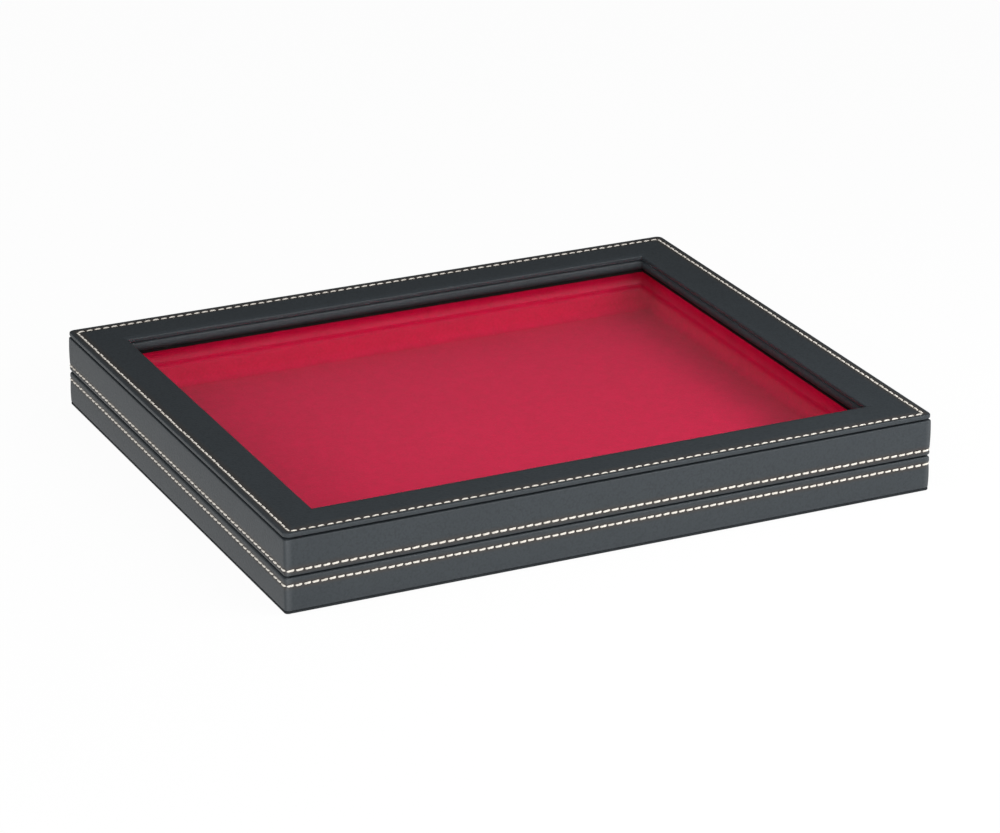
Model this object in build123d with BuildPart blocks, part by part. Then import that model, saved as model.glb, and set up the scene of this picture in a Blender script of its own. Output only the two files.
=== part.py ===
"""Coin display case: a stitched leatherette box with a windowed, hinged lid and a flocked tray.

The frame has +Z up, +X along the long side and -Y towards the front. The origin lies on the
table, under the middle of the box. The hinges are on the back, at +Y. All sizes are millimetres.
"""

import os

from build123d import *

os.makedirs("parts", exist_ok=True)

# ---------------------------------------------------------------- driving sizes
# Footprint and walls, shared by the base and the lid
case_length = 303.0
case_width = 252.0
corner_radius = 1.5  # upright corners of the leatherette bands
rail_thickness = 6.5  # fibreboard walls
wrap_thickness = 0.8  # leatherette and its foam on the outside of a wall
lip_thickness = 0.6  # leatherette turned over the edge of a wall
lip_radius = 0.9  # roll of the two lips that meet at the parting line
seam_radius = 0.5  # roll of a band at its other edge, by the sole or the top panel
lining_thickness = 0.4  # black velour on the inside of a wall

# Base, from the table upwards
sole_thickness = 1.0
sole_inset = 0.3  # the sole stands back from the outside of the box
base_board_thickness = 1.6
base_rail_height = 13.85
lining_step = 0.3  # the lining stops this far under the rim of the base
parting_gap = 0.2  # between the closed lips

# Lid, from the parting line upwards
lid_rail_height = 9.65
frame_board_thickness = 5.8
riser_thickness = 0.7  # strip of board that lifts the top panel off the lid
riser_setback = 3.0  # from both edges of the top panel
panel_turn_in = 0.4  # leatherette folded under the top panel
panel_board_thickness = 1.0
panel_cover_thickness = 0.5
panel_corner_radius = 2.5
panel_edge_radius = 1.1  # outer top edge of the panel
panel_under_radius = 0.4  # outer lower edge of the panel
panel_fold_width = 6.0  # how far the leatherette reaches under the panel

# Window
window_border = 20.8  # from the outside of the box to the opening in the panel
window_edge_radius = 0.4  # top edge of the opening
liner_setback = 0.6  # the liner stands back from the opening in the panel
liner_thickness = 0.6
liner_fold_width = 6.0  # how far the liner reaches over the frame boards
liner_roll_radius = 1.2
shadow_gap = 1.5  # bare edge of the frame boards between the liner and the pane
pane_thickness = 1.5
pane_clearance = 0.3  # from the edge of the pane to the lid rails
pane_edge_chamfer = 0.3
strip_width = 5.0  # strips that hold the pane up against the frame boards
strip_height = 1.8

# Stitch channels pressed into the leatherette
stitch_channel_width = 1.1
stitch_channel_depth = 0.25
base_stitch_drop = 3.7  # from the rim of the base down to its row
lid_stitch_rise = 2.65  # from the lower edge of the lid up to its row
panel_stitch_inset = 3.0  # from the edge of the panel in to its row

# Tray
tray_clearance = 0.5  # to the linings, all round
tray_wall_thickness = 1.2  # at the rim
tray_draft = 1.8  # how much thicker the wall is at the floor
tray_floor_thickness = 1.0
tray_rim_gap = 0.4  # from the rim up to the pane strips
tray_corner_radius = 4.5  # upright inside corners at the floor
tray_floor_radius = 4.0  # cove between the floor and the walls
tray_rim_radius = 0.4

# Hinges
hinge_length = 30.0
hinge_setback = 61.5  # from an end of the box to the middle of a hinge
leaf_width = 6.0  # from the back of the box inwards
leaf_thickness = 0.8
knuckle_count = 5
knuckle_radius = 1.6
knuckle_gap = 0.1  # end play between two knuckles
barrel_standoff = 0.25  # from the back of the box to the barrel
leaf_barrel_gap = 0.15  # from a leaf to the other leaf's knuckles
hinge_notch_clearance = 0.15  # round a leaf in the leatherette and the rails
pin_radius = 0.75
pin_clearance = 0.05
pin_head_radius = 1.15
pin_head_length = 0.5

# Hinge screws
screw_spacing = 18.0
screw_setback = 3.9  # from the back of the box
screw_radius = 0.75
screw_head_radius = 1.35
screw_length = 6.0
screw_clearance = 0.05
screw_slot_width = 0.3
screw_slot_depth = 0.3

# Closing magnets, sunk in the front rails under the lips
magnet_setback = 91.5  # from an end of the box to the middle of a magnet
magnet_radius = 2.0
magnet_depth = 2.0
strike_radius = 2.0
strike_depth = 1.5
magnet_clearance = 0.05

# ---------------------------------------------------------------- levels and insets
SIDES = ("front", "back", "left", "right")

rail_outer = wrap_thickness
rail_inner = rail_outer + rail_thickness
lining_inner = rail_inner + lining_thickness

sole_top = sole_thickness
base_rail_bottom = sole_top + lip_thickness
base_rim = base_rail_bottom + base_rail_height
base_top = base_rim + lip_thickness
base_board_top = sole_top + base_board_thickness

lid_bottom = base_top + parting_gap
lid_rail_bottom = lid_bottom + lip_thickness
pane_top = lid_rail_bottom + lid_rail_height
frame_board_top = pane_top + frame_board_thickness
lid_top = frame_board_top + lip_thickness
panel_bottom = lid_top + riser_thickness
panel_board_bottom = panel_bottom + panel_turn_in
panel_board_top = panel_board_bottom + panel_board_thickness
case_top = panel_board_top + panel_cover_thickness

pane_bottom = pane_top - pane_thickness
strip_bottom = pane_bottom - strip_height
tray_bottom = base_board_top
tray_floor = tray_bottom + tray_floor_thickness
tray_rim = strip_bottom - tray_rim_gap

liner_face = window_border - liner_setback
frame_board_inner = liner_face - liner_thickness

back_face = case_width / 2
hinge_axis_z = (base_top + lid_bottom) / 2
hinge_axis_y = back_face + barrel_standoff + knuckle_radius
hinge_centres = (hinge_setback - case_length / 2, case_length / 2 - hinge_setback)
screw_offsets = (-screw_spacing / 2, screw_spacing / 2)
screw_y = back_face - screw_setback


def span(inset):
    """Length and width of the rectangle that lies this far inside the outline of the box."""
    return case_length - 2 * inset, case_width - 2 * inset


def mitred_outline(side, outer, inner):
    """Corners of one board of a mitred frame that reaches from one inset to another."""
    x_out, y_out = (size / 2 for size in span(outer))
    x_in, y_in = (size / 2 for size in span(inner))
    front = [(-x_out, -y_out), (x_out, -y_out), (x_in, -y_in), (-x_in, -y_in)]
    left = [(-x_out, y_out), (-x_out, -y_out), (-x_in, -y_in), (-x_in, y_in)]
    if side == "front":
        return front
    if side == "back":
        return [(-x, -y) for x, y in front]
    if side == "left":
        return left
    return [(-x, -y) for x, y in left]


def save(part, name):
    """Label a finished piece and write its STEP file."""
    part.label = name
    export_step(part, f"parts/{name}.step")


def hinge_screw_places():
    """Middles of the four screw holes of one half, two for each hinge."""
    return [(centre + offset, screw_y) for centre in hinge_centres for offset in screw_offsets]


def magnet_places():
    """Middles of the two closing magnets in the front wall."""
    x = case_length / 2 - magnet_setback
    y = (rail_outer + rail_inner) / 2 - case_width / 2
    return [(-x, y), (x, y)]


# ---------------------------------------------------------------- base: sole, board and rails
with BuildPart() as base_sole:
    with BuildSketch():
        RectangleRounded(*span(sole_inset), corner_radius)
    extrude(amount=sole_thickness)
save(base_sole.part, "base_sole")

with BuildPart() as base_board:
    with BuildSketch(Plane.XY.offset(sole_top)):
        Rectangle(*span(rail_inner))
    extrude(amount=base_board_thickness)
save(base_board.part, "base_board")

leaf_pocket_depth = leaf_thickness - lip_thickness
leaf_pocket_width = leaf_width - rail_outer + hinge_notch_clearance
leaf_pocket_y = back_face - rail_outer - leaf_pocket_width / 2
leaf_pocket_length = hinge_length + 2 * hinge_notch_clearance
pilot_radius = screw_radius + screw_clearance
pilot_depth = screw_length + screw_clearance

for side in SIDES:
    with BuildPart() as base_rail:
        with BuildSketch(Plane.XY.offset(base_rail_bottom)):
            Polygon(*mitred_outline(side, rail_outer, rail_inner), align=None)
        extrude(amount=base_rail_height)
        if side == "back":
            # shallow mortises and pilot holes for the hinge leaves
            with BuildSketch(Plane.XY.offset(base_rim)):
                with Locations(*[(x, leaf_pocket_y) for x in hinge_centres]):
                    Rectangle(leaf_pocket_length, leaf_pocket_width)
            extrude(amount=-leaf_pocket_depth, mode=Mode.SUBTRACT)
            with BuildSketch(Plane.XY.offset(base_top)):
                with Locations(*hinge_screw_places()):
                    Circle(pilot_radius)
            extrude(amount=-pilot_depth, mode=Mode.SUBTRACT)
        if side == "front":
            with BuildSketch(Plane.XY.offset(base_rim)):
                with Locations(*magnet_places()):
                    Circle(magnet_radius + magnet_clearance)
            extrude(amount=-(magnet_depth + magnet_clearance), mode=Mode.SUBTRACT)
    save(base_rail.part, f"base_rail_{side}")

# ---------------------------------------------------------------- base: leatherette band and lining
leaf_notch_width = leaf_width + hinge_notch_clearance
leaf_notch_depth = leaf_thickness + hinge_notch_clearance
channel_corner_radius = corner_radius - stitch_channel_depth

with BuildPart() as base_wrap:
    with BuildSketch(Plane.XY.offset(sole_top)):
        RectangleRounded(*span(0), corner_radius)
    extrude(amount=base_top - sole_top)
    fillet(base_wrap.edges().group_by(Axis.Z)[-1], lip_radius)
    fillet(base_wrap.edges().group_by(Axis.Z)[0], seam_radius)
    # the room that the rails fill
    with BuildSketch(Plane.XY.offset(base_rail_bottom)):
        Rectangle(*span(rail_outer))
    extrude(amount=base_rail_height, mode=Mode.SUBTRACT)
    # the inside of the box, between the edges of the turned lips
    with BuildSketch(Plane.XY.offset(sole_top)):
        Rectangle(*span(rail_inner))
    extrude(amount=base_top - sole_top, mode=Mode.SUBTRACT)
    # the channel that the stitches are sunk in
    with BuildSketch(Plane.XY.offset(base_top - base_stitch_drop - stitch_channel_width / 2)):
        Rectangle(*span(-wrap_thickness))
        RectangleRounded(*span(stitch_channel_depth), channel_corner_radius, mode=Mode.SUBTRACT)
    extrude(amount=stitch_channel_width, mode=Mode.SUBTRACT)
    # notches that let the hinge leaves through
    with BuildSketch(Plane.XY.offset(base_top)):
        with Locations(*[(x, back_face - leaf_notch_width / 2) for x in hinge_centres]):
            Rectangle(leaf_pocket_length, leaf_notch_width)
    extrude(amount=-leaf_notch_depth, mode=Mode.SUBTRACT)
save(base_wrap.part, "base_wrap")

with BuildPart() as base_lining:
    with BuildSketch(Plane.XY.offset(base_board_top)):
        Rectangle(*span(rail_inner))
        Rectangle(*span(lining_inner), mode=Mode.SUBTRACT)
    extrude(amount=base_top - lining_step - base_board_top)
save(base_lining.part, "base_lining")

# ---------------------------------------------------------------- tray
tray_outer = lining_inner + tray_clearance
tray_inner_rim = tray_outer + tray_wall_thickness
tray_inner_floor = tray_inner_rim + tray_draft
tray_rim_corner = tray_corner_radius + tray_draft

with BuildPart() as insert_tray:
    with BuildSketch(Plane.XY.offset(tray_bottom)):
        RectangleRounded(*span(tray_outer), tray_rim_corner + tray_wall_thickness)
    extrude(amount=tray_rim - tray_bottom)
    # the well narrows from the rim to the floor, so that the tray leaves its mould
    with BuildSketch(Plane.XY.offset(tray_floor)):
        RectangleRounded(*span(tray_inner_floor), tray_corner_radius)
    with BuildSketch(Plane.XY.offset(tray_rim)):
        RectangleRounded(*span(tray_inner_rim), tray_rim_corner)
    loft(ruled=True, mode=Mode.SUBTRACT)
    well_floor = insert_tray.faces().filter_by(Plane.XY).sort_by(Axis.Z)[1]
    fillet(well_floor.edges(), tray_floor_radius)
    fillet(insert_tray.edges().group_by(Axis.Z)[-1], tray_rim_radius)
save(insert_tray.part, "insert_tray")

# ---------------------------------------------------------------- lid: rails, frame boards and band
for side in SIDES:
    with BuildPart() as lid_rail:
        with BuildSketch(Plane.XY.offset(lid_rail_bottom)):
            Polygon(*mitred_outline(side, rail_outer, rail_inner), align=None)
        extrude(amount=lid_rail_height)
        if side == "back":
            with BuildSketch(Plane.XY.offset(lid_rail_bottom)):
                with Locations(*[(x, leaf_pocket_y) for x in hinge_centres]):
                    Rectangle(leaf_pocket_length, leaf_pocket_width)
            extrude(amount=leaf_pocket_depth, mode=Mode.SUBTRACT)
            with BuildSketch(Plane.XY.offset(lid_bottom)):
                with Locations(*hinge_screw_places()):
                    Circle(pilot_radius)
            extrude(amount=pilot_depth, mode=Mode.SUBTRACT)
        if side == "front":
            with BuildSketch(Plane.XY.offset(lid_rail_bottom)):
                with Locations(*magnet_places()):
                    Circle(strike_radius + magnet_clearance)
            extrude(amount=strike_depth + magnet_clearance, mode=Mode.SUBTRACT)
    save(lid_rail.part, f"lid_rail_{side}")

for side in SIDES:
    with BuildPart() as frame_board:
        with BuildSketch(Plane.XY.offset(pane_top)):
            Polygon(*mitred_outline(side, rail_outer, frame_board_inner), align=None)
        extrude(amount=frame_board_thickness)
    save(frame_board.part, f"frame_board_{side}")

with BuildPart() as lid_wrap:
    with BuildSketch(Plane.XY.offset(lid_bottom)):
        RectangleRounded(*span(0), corner_radius)
    extrude(amount=lid_top - lid_bottom)
    fillet(lid_wrap.edges().group_by(Axis.Z)[-1], seam_radius)
    fillet(lid_wrap.edges().group_by(Axis.Z)[0], lip_radius)
    # the room that the rails and the frame boards fill
    with BuildSketch(Plane.XY.offset(lid_rail_bottom)):
        Rectangle(*span(rail_outer))
    extrude(amount=frame_board_top - lid_rail_bottom, mode=Mode.SUBTRACT)
    with BuildSketch(Plane.XY.offset(lid_bottom)):
        Rectangle(*span(rail_inner))
    extrude(amount=lid_top - lid_bottom, mode=Mode.SUBTRACT)
    with BuildSketch(Plane.XY.offset(lid_bottom + lid_stitch_rise - stitch_channel_width / 2)):
        Rectangle(*span(-wrap_thickness))
        RectangleRounded(*span(stitch_channel_depth), channel_corner_radius, mode=Mode.SUBTRACT)
    extrude(amount=stitch_channel_width, mode=Mode.SUBTRACT)
    with BuildSketch(Plane.XY.offset(lid_bottom)):
        with Locations(*[(x, back_face - leaf_notch_width / 2) for x in hinge_centres]):
            Rectangle(leaf_pocket_length, leaf_notch_width)
    extrude(amount=leaf_notch_depth, mode=Mode.SUBTRACT)
save(lid_wrap.part, "lid_wrap")

with BuildPart() as lid_lining:
    with BuildSketch(Plane.XY.offset(lid_rail_bottom)):
        Rectangle(*span(rail_inner))
        Rectangle(*span(lining_inner), mode=Mode.SUBTRACT)
    extrude(amount=strip_bottom - lid_rail_bottom)
save(lid_lining.part, "lid_lining")

# ---------------------------------------------------------------- lid: window
with BuildPart() as window_liner:
    with BuildSketch(Plane.XY.offset(pane_top + shadow_gap)):
        Rectangle(*span(frame_board_inner - liner_fold_width))
        Rectangle(*span(liner_face), mode=Mode.SUBTRACT)
    extrude(amount=lid_top - pane_top - shadow_gap)
    # the room that the frame boards fill, which leaves a wall and a fold over the boards
    with BuildSketch(Plane.XY.offset(pane_top)):
        Rectangle(*span(frame_board_inner - 2 * liner_fold_width))
        Rectangle(*span(frame_board_inner), mode=Mode.SUBTRACT)
    extrude(amount=frame_board_thickness, mode=Mode.SUBTRACT)
    fold_face = window_liner.faces().sort_by(Axis.Z)[-1]
    fillet(fold_face.inner_wires()[0].edges(), liner_roll_radius)
save(window_liner.part, "window_liner")

with BuildPart() as window_pane:
    with BuildSketch(Plane.XY.offset(pane_bottom)):
        Rectangle(*span(rail_inner + pane_clearance))
    extrude(amount=pane_thickness)
    chamfer(window_pane.edges().filter_by(Plane.XY), pane_edge_chamfer)
save(window_pane.part, "window_pane")

for side in SIDES:
    with BuildPart() as pane_strip:
        with BuildSketch(Plane.XY.offset(strip_bottom)):
            Polygon(*mitred_outline(side, rail_inner, rail_inner + strip_width), align=None)
        extrude(amount=strip_height)
    save(pane_strip.part, f"pane_strip_{side}")

# ---------------------------------------------------------------- lid: top panel, its riser and its cover
with BuildPart() as panel_riser:
    with BuildSketch(Plane.XY.offset(lid_top)):
        Rectangle(*span(riser_setback))
        Rectangle(*span(window_border - riser_setback), mode=Mode.SUBTRACT)
    extrude(amount=riser_thickness)
save(panel_riser.part, "panel_riser")

with BuildPart() as top_panel:
    with BuildSketch(Plane.XY.offset(panel_board_bottom)):
        RectangleRounded(*span(panel_cover_thickness), panel_corner_radius - panel_cover_thickness)
        Rectangle(*span(window_border - panel_cover_thickness), mode=Mode.SUBTRACT)
    extrude(amount=panel_board_thickness)
save(top_panel.part, "top_panel")

with BuildPart() as top_panel_cover:
    with BuildSketch(Plane.XY.offset(panel_bottom)):
        RectangleRounded(*span(0), panel_corner_radius)
        Rectangle(*span(window_border), mode=Mode.SUBTRACT)
    extrude(amount=case_top - panel_bottom)
    fillet(top_panel_cover.faces().sort_by(Axis.Z)[-1].outer_wire().edges(), panel_edge_radius)
    fillet(top_panel_cover.faces().sort_by(Axis.Z)[-1].inner_wires()[0].edges(), window_edge_radius)
    fillet(top_panel_cover.faces().sort_by(Axis.Z)[0].outer_wire().edges(), panel_under_radius)
    # the room that the board fills
    with BuildSketch(Plane.XY.offset(panel_board_bottom)):
        RectangleRounded(*span(panel_cover_thickness), panel_corner_radius - panel_cover_thickness)
        Rectangle(*span(window_border - panel_cover_thickness), mode=Mode.SUBTRACT)
    extrude(amount=panel_board_thickness, mode=Mode.SUBTRACT)
    # the underside of the board stays bare between the two folds
    with BuildSketch(Plane.XY.offset(panel_bottom)):
        Rectangle(*span(panel_fold_width))
        Rectangle(*span(window_border - panel_fold_width), mode=Mode.SUBTRACT)
    extrude(amount=panel_turn_in, mode=Mode.SUBTRACT)
    with BuildSketch(Plane.XY.offset(case_top)):
        Rectangle(*span(panel_stitch_inset - stitch_channel_width / 2))
        Rectangle(*span(panel_stitch_inset + stitch_channel_width / 2), mode=Mode.SUBTRACT)
    extrude(amount=-stitch_channel_depth, mode=Mode.SUBTRACT)
save(top_panel_cover.part, "top_panel_cover")

# ---------------------------------------------------------------- hinges
knuckle_pitch = hinge_length / knuckle_count
knuckle_length = knuckle_pitch - knuckle_gap
leaf_inner_y = back_face - leaf_width
leaf_edge_y = hinge_axis_y - knuckle_radius - leaf_barrel_gap
tongue_y = (leaf_inner_y + hinge_axis_y) / 2


def hinge_leaf(centre, leaf_bottom, first_knuckle, hole_facing, hole_z):
    """One leaf: a plate with two countersunk holes, and every second knuckle of the barrel."""
    knuckle_starts = [
        centre - hinge_length / 2 + index * knuckle_pitch + knuckle_gap / 2
        for index in range(first_knuckle, knuckle_count, 2)
    ]
    with BuildPart() as leaf:
        with BuildSketch(Plane.XY.offset(leaf_bottom)):
            with Locations((centre, (leaf_inner_y + leaf_edge_y) / 2)):
                Rectangle(hinge_length, leaf_edge_y - leaf_inner_y)
            # tongues that run on into the knuckles
            with Locations(*[(x + knuckle_length / 2, tongue_y) for x in knuckle_starts]):
                Rectangle(knuckle_length, hinge_axis_y - leaf_inner_y)
        extrude(amount=leaf_thickness)
        for start in knuckle_starts:
            with BuildSketch(Plane.YZ.offset(start)):
                with Locations((hinge_axis_y, hinge_axis_z)):
                    Circle(knuckle_radius)
            extrude(amount=knuckle_length)
        with BuildSketch(Plane.YZ.offset(centre - hinge_length / 2)):
            with Locations((hinge_axis_y, hinge_axis_z)):
                Circle(pin_radius + pin_clearance)
        extrude(amount=hinge_length, mode=Mode.SUBTRACT)
        holes = [Plane((centre + x, screw_y, hole_z), z_dir=(0, 0, hole_facing)) for x in screw_offsets]
        with Locations(*holes):
            CounterSinkHole(
                screw_radius + screw_clearance,
                screw_head_radius + screw_clearance,
                leaf_thickness,
                counter_sink_angle=90,
            )
    return leaf.part


def hinge_pin(centre):
    """A pin with a peened head at each end of the barrel."""
    with BuildPart() as pin:
        with BuildSketch(Plane.YZ.offset(centre - hinge_length / 2)):
            with Locations((hinge_axis_y, hinge_axis_z)):
                Circle(pin_radius)
        extrude(amount=hinge_length)
        for start in (-hinge_length / 2 - pin_head_length, hinge_length / 2):
            with BuildSketch(Plane.YZ.offset(centre + start)):
                with Locations((hinge_axis_y, hinge_axis_z)):
                    Circle(pin_head_radius)
            extrude(amount=pin_head_length)
        fillet(pin.edges().filter_by(GeomType.CIRCLE).group_by(Axis.X)[0], pin_head_length / 2)
        fillet(pin.edges().filter_by(GeomType.CIRCLE).group_by(Axis.X)[-1], pin_head_length / 2)
    return pin.part


for hand, centre in zip(("left", "right"), hinge_centres):
    save(hinge_leaf(centre, base_top - leaf_thickness, 0, 1, base_top), f"base_hinge_leaf_{hand}")
    save(hinge_leaf(centre, lid_bottom, 1, -1, lid_bottom), f"lid_hinge_leaf_{hand}")
    save(hinge_pin(centre), f"hinge_pin_{hand}")

# one countersunk screw, head up, with the middle of its head on the origin
with BuildPart() as hinge_screw:
    with BuildSketch(Plane.XZ):
        Polygon(
            (0, 0),
            (screw_head_radius, 0),
            (screw_radius, screw_radius - screw_head_radius),
            (screw_radius, screw_radius - screw_length),
            (0, -screw_length),
            align=None,
        )
    revolve(axis=Axis.Z)
    with BuildSketch():
        Rectangle(2 * screw_head_radius, screw_slot_width)
    extrude(amount=-screw_slot_depth, mode=Mode.SUBTRACT)

with BuildPart() as base_hinge_screws:
    with Locations(*[Plane(origin=(x, y, base_top)) for x, y in hinge_screw_places()]):
        add(hinge_screw.part)
save(base_hinge_screws.part, "base_hinge_screws")

with BuildPart() as lid_hinge_screws:
    with Locations(*[Plane(origin=(x, y, lid_bottom), z_dir=(0, 0, -1)) for x, y in hinge_screw_places()]):
        add(hinge_screw.part)
save(lid_hinge_screws.part, "lid_hinge_screws")

# ---------------------------------------------------------------- closing magnets
with BuildPart() as base_magnets:
    with BuildSketch(Plane.XY.offset(base_rim)):
        with Locations(*magnet_places()):
            Circle(magnet_radius)
    extrude(amount=-magnet_depth)
save(base_magnets.part, "base_magnets")

with BuildPart() as lid_strike_plates:
    with BuildSketch(Plane.XY.offset(lid_rail_bottom)):
        with Locations(*magnet_places()):
            Circle(strike_radius)
    extrude(amount=strike_depth)
save(lid_strike_plates.part, "lid_strike_plates")
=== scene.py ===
"""Visual model of a coin display case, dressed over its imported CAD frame.

The case is a flat box in two hinged halves. Each half is wrapped in a padded leatherette band with a
row of cream stitches. The lid carries a stitched top panel round a clear pane, and the base holds a
deep red flocked tray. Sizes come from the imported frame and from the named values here, in metres.
"""

import logging
import math
import random
from contextlib import contextmanager
from dataclasses import dataclass, field
from enum import Enum
from typing import Callable, Iterator

import bmesh
import bpy
from mathutils import Matrix, Vector


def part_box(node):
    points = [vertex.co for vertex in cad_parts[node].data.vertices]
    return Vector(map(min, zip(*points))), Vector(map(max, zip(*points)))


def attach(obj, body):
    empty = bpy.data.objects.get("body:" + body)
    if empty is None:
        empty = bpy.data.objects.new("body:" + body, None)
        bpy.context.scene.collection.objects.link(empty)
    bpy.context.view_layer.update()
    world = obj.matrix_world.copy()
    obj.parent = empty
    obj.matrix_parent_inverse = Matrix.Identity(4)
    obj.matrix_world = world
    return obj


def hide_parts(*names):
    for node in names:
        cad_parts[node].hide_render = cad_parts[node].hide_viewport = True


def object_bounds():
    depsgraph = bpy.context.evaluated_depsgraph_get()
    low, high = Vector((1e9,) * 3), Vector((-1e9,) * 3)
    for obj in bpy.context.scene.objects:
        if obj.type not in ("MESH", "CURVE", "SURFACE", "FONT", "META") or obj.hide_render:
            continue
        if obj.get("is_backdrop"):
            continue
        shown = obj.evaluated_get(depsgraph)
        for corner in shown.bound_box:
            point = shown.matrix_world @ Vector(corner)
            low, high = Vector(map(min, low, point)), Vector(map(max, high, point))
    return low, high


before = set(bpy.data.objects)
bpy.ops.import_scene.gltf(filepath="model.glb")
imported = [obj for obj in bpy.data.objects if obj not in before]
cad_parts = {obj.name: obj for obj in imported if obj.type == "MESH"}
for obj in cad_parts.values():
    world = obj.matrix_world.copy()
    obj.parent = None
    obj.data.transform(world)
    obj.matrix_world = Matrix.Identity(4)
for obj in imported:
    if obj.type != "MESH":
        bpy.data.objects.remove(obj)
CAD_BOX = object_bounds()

MM = 0.001
NEAR = 0.05 * MM  # a vertex this close to a line of the drawing lies on it
MIDDLE = (0.0, 0.0, 0.0)
UP = Vector((0, 0, 1))
WHITE = (1.0, 1.0, 1.0)
Triple = tuple[float, float, float]
Colour = Triple
Piece = bpy.types.Object
Socket = bpy.types.NodeSocket
log = logging.getLogger("coin_case")


class Body(Enum):
    """The moving bodies of the case."""

    BASE = "base"
    INSERT = "insert"
    LID = "lid"


class Slot(Enum):
    """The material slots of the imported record."""

    LEATHERETTE = "leatherette"
    FIBREBOARD = "fibreboard"
    BLACK_BOARD = "black_board"
    GREYBOARD = "greyboard"
    VELOUR = "black_velour"
    FLOCK = "red_flock"
    GLASS = "clear_glass"
    NICKEL = "nickelled_steel"
    SCREW = "screw_steel"
    MAGNET = "magnet_steel"


class Side(Enum):
    """The four sides of the case: the way each one faces, and the way its stitches run."""

    FRONT = (Vector((0, -1, 0)), Vector((1, 0, 0)))
    RIGHT = (Vector((1, 0, 0)), Vector((0, 1, 0)))
    BACK = (Vector((0, 1, 0)), Vector((-1, 0, 0)))
    LEFT = (Vector((-1, 0, 0)), Vector((0, -1, 0)))

    @property
    def facing(self) -> Vector:
        """The outward direction of the side."""
        return self.value[0]

    @property
    def running(self) -> Vector:
        """The direction in which the stitches of the side follow each other."""
        return self.value[1]

    def spans(self, half: Vector, counts: tuple[int, int]) -> tuple[float, float, int]:
        """Measure the side for a row of stitches.

        Args:
            half: Half the length and half the width of the box.
            counts: The stitches on a long and on a short side.

        Returns:
            Half the side's length, its distance from the middle and its count of stitches.
        """
        if self in (Side.FRONT, Side.BACK):
            return half.x, half.y, counts[0]
        return half.y, half.x, counts[1]


# ---------------------------------------------------------------- work in edit mode
def deselect() -> None:
    """Leave nothing selected, so that an operator acts only on what is added or picked next."""
    bpy.ops.object.select_all(action="DESELECT")


def pick(*pieces: Piece) -> None:
    """Make these pieces the only selected ones, and the first one active."""
    deselect()
    for piece in pieces:
        piece.select_set(True)
    bpy.context.view_layer.objects.active = pieces[0]


@contextmanager
def editing(piece: Piece, mode: str = "VERT") -> Iterator[None]:
    """Open a piece in edit mode for the length of a with block.

    Args:
        piece: The piece to edit.
        mode: What is selected, VERT, EDGE or FACE.

    Yields:
        Nothing.
    """
    pick(piece)
    bpy.ops.object.mode_set(mode="EDIT")
    bpy.ops.mesh.select_mode(type=mode)
    yield
    bpy.ops.object.mode_set(mode="OBJECT")


def select_all() -> None:
    """Select the whole mesh that is open."""
    bpy.ops.mesh.select_all(action="SELECT")


def select(piece: Piece, kind: str, wanted: Callable[[object], bool]) -> None:
    """Select the parts of an open mesh that pass a test.

    Args:
        piece: The piece in edit mode.
        kind: What is looked at: verts, edges or faces.
        wanted: The test on one of them.
    """
    mesh = bmesh.from_edit_mesh(piece.data)
    parts = getattr(mesh, kind)
    chosen = [part for part in parts if wanted(part)]
    for part in parts:
        part.select_set(False)
    for part in chosen:
        part.select_set(True)
    if kind == "verts":
        mesh.select_flush(True)
    bmesh.update_edit_mesh(piece.data)


def cut_through(place: Triple, facing: Triple) -> None:
    """Cut new edges into the open mesh where a plane meets it."""
    select_all()
    bpy.ops.mesh.bisect(plane_co=place, plane_no=facing)


def apply_modifier(piece: Piece, kind: str, **settings: float | str | bool) -> None:
    """Add a modifier with these settings and apply it.

    Args:
        piece: The piece that it changes.
        kind: The modifier's type.
        **settings: The modifier's own settings.
    """
    pick(piece)
    modifier = piece.modifiers.new(kind.title(), kind)
    for key, value in settings.items():
        setattr(modifier, key, value)
    bpy.ops.object.modifier_apply(modifier=modifier.name)


def smooth(piece: Piece, degrees: float) -> None:
    """Shade a piece smooth, apart from edges sharper than an angle."""
    pick(piece)
    bpy.ops.object.shade_smooth_by_angle(angle=math.radians(degrees))


def paint_near(piece: Piece, name: str, distance: Callable[[Vector], float], reach: float) -> None:
    """Paint how near each vertex lies to something, from 1 on it to 0 at reach.

    Args:
        piece: The piece.
        name: The attribute's name.
        distance: The distance from it, for a vertex's place.
        reach: Where the value is 0.
    """
    layer = piece.data.attributes.new(name, "FLOAT", "POINT")
    for vertex, value in zip(piece.data.vertices, layer.data):
        value.value = max(0.0, 1 - distance(vertex.co) / reach)


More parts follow.
